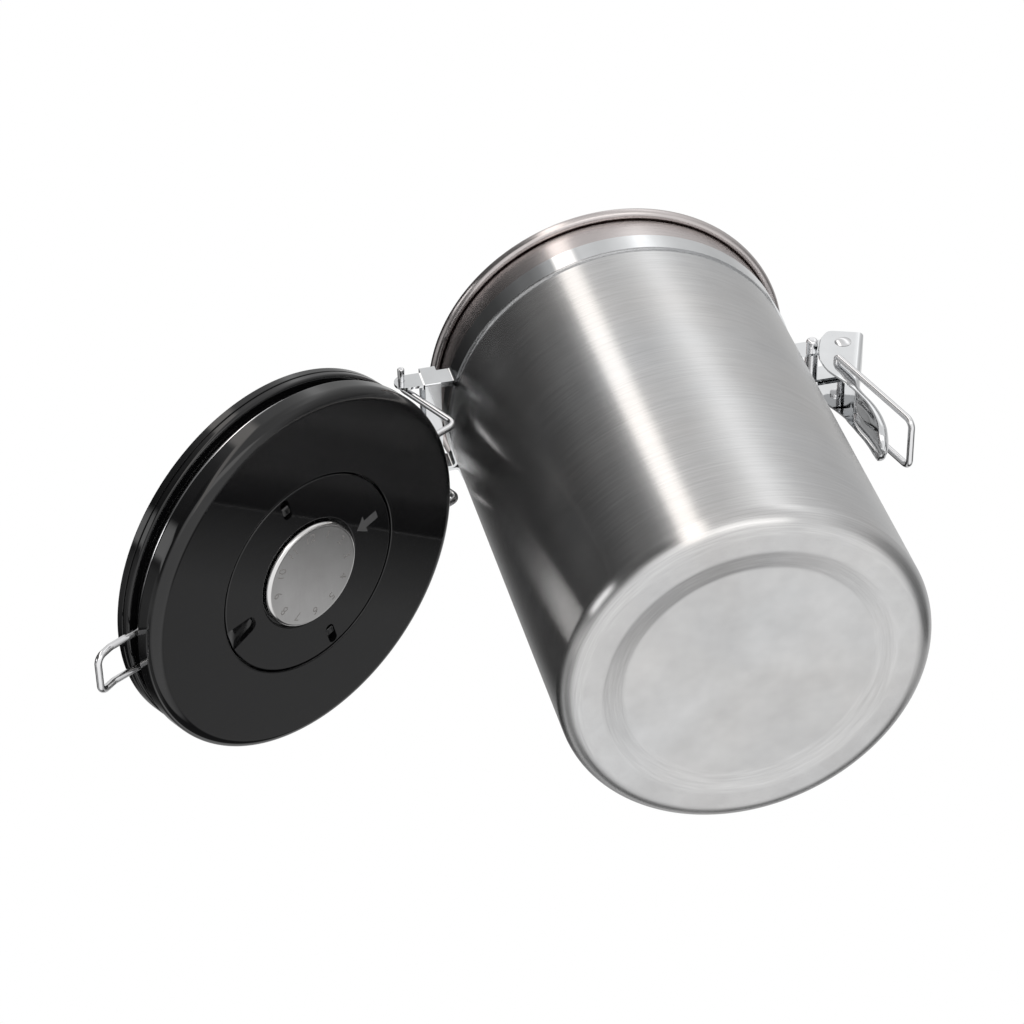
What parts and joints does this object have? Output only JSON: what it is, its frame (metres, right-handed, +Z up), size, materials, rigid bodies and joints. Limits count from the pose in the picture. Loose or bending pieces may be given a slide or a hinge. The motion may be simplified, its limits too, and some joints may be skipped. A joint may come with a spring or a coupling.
{
  "type": "food canister",
  "caption": "Cylindrical steel storage canister with a wire-hinged black lid, a date dial, a degassing valve and a swing latch, drawn with its lid open.",
  "frame": {"origin": "centre of the can's base, on the plane it stands on", "axes": "+Z up along the can's axis, hinge at -X, latch at +X"},
  "size_m": [0.2892, 0.1308, 0.1763],
  "materials": {
    "brushed_steel": "circumferential brush",
    "polished_strap": "polished",
    "polished_wire": "polished",
    "black_gloss": "gloss",
    "black_satin": "satin",
    "satin_steel": "fine satin",
    "grey_print": "printed",
    "silicone": "satin",
    "screw_steel": "plated",
    "felt": "felt"
  },
  "bodies": {
    "canister": {"canister_body": "brushed_steel", "neck_band_front": "polished_strap", "neck_band_rear": "polished_strap", "hinge_bridge": "polished_strap", "hinge_keeper": "polished_strap", "clamp_pin": "polished_wire", "clamp_spacer": "polished_wire", "lever_rivet": "polished_wire"},
    "lid": {"lid_cover": "black_gloss", "lid_base": "black_satin", "lid_gasket": "silicone", "lid_screws": "screw_steel", "lid_wire": "polished_wire", "month_disc": "satin_steel", "day_plate": "black_satin", "valve_hood": "black_satin", "valve_filter": "felt", "valve_cap": "black_satin"},
    "ring": {"date_ring": "black_gloss", "date_arrow": "grey_print"},
    "flap": {"valve_flap": "silicone"},
    "lever": {"latch_lever": "polished_strap"},
    "bail": {"latch_bail": "polished_wire"}
  },
  "joints": [
    {"name": "lid_hinge", "type": "hinge", "parent": "canister", "child": "lid", "pos_m": [-0.0769, 0, 0.1585], "axis": [0, 1, 0], "range_deg": [-8, 210.25]},
    {"name": "lever_pivot", "type": "hinge", "parent": "canister", "child": "lever", "pos_m": [0.0809, 0, 0.1563], "axis": [0, 1, 0], "range_deg": [-115, 0]},
    {"name": "bail_pivot", "type": "hinge", "parent": "lever", "child": "bail", "pos_m": [0.07516, 0, 0.14566], "axis": [0, -1, 0], "range_deg": [0, 156.3]},
    {"name": "date_ring_turn", "type": "hinge", "parent": "lid", "child": "ring", "pos_m": [-0.12494, 0, 0.08823], "axis": [0.5038, 0, -0.8638], "continuous": true},
    {"name": "valve_lift", "type": "slide", "parent": "lid", "child": "flap", "axis": [0.5038, 0, -0.8638], "range_m": [0, 0.0008], "stiffness_N_per_m": 20, "springref_m": -0.0005}
  ]
}
